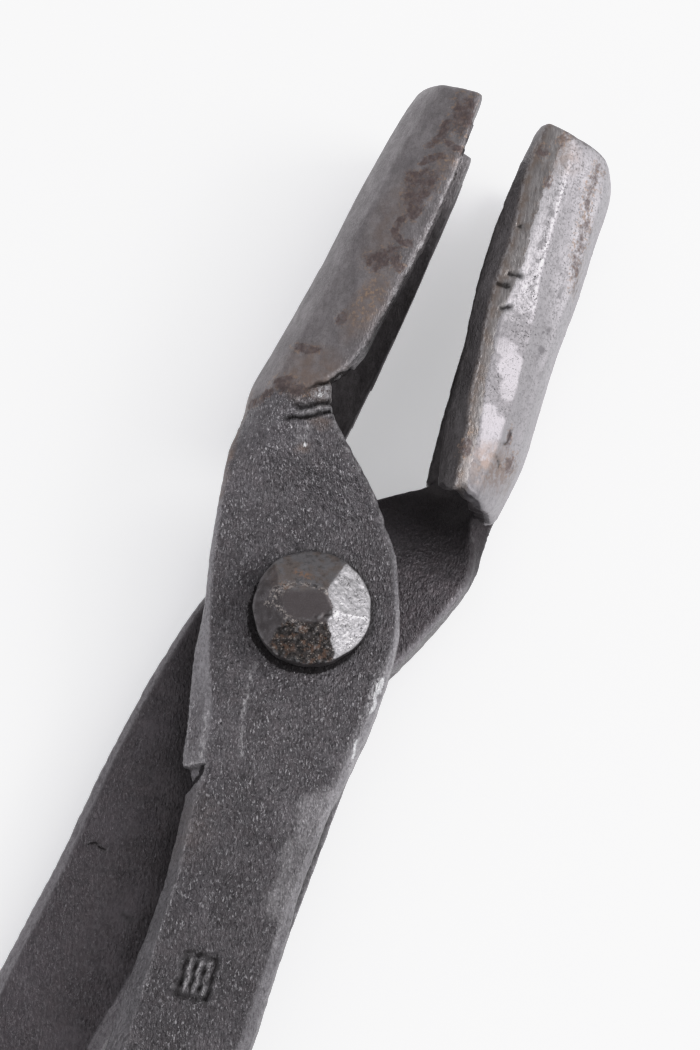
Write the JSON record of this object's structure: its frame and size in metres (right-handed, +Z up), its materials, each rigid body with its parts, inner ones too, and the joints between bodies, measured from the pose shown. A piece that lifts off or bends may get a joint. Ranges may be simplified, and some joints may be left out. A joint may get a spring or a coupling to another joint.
{
  "type": "blacksmith's hollow-bit tongs",
  "caption": "Hand-forged riveted tongs with long round-ended reins and two half-round trough jaws that close around round bar.",
  "frame": {"origin": "centre of the flat foot of the rivet's lower head, on the rivet's axis", "axes": "+Z up along the rivet's axis, +Y along the tongs towards the jaws, +X to the right seen from above with the jaws away; the upper half's jaw lies at -X"},
  "size_m": [0.0632, 0.3994, 0.0295],
  "materials": {
    "dark_forge_scale": "dark forge scale, pitted, with brown rust on the jaw",
    "worn_forge_scale": "dark forge scale, ground bright along the jaw",
    "hammered_rivet": "hammered facets, dark with bright worn flats"
  },
  "bodies": {
    "lower_half": {"lower_half": "worn_forge_scale", "rivet": "hammered_rivet"},
    "upper_half": {"upper_half": "dark_forge_scale"}
  },
  "joints": [
    {"name": "jaw_pivot", "type": "hinge", "parent": "lower_half", "child": "upper_half", "pos_m": [0, 0, 0.01475], "axis": [0, 0, 1], "range_deg": [-6, 70]}
  ]
}
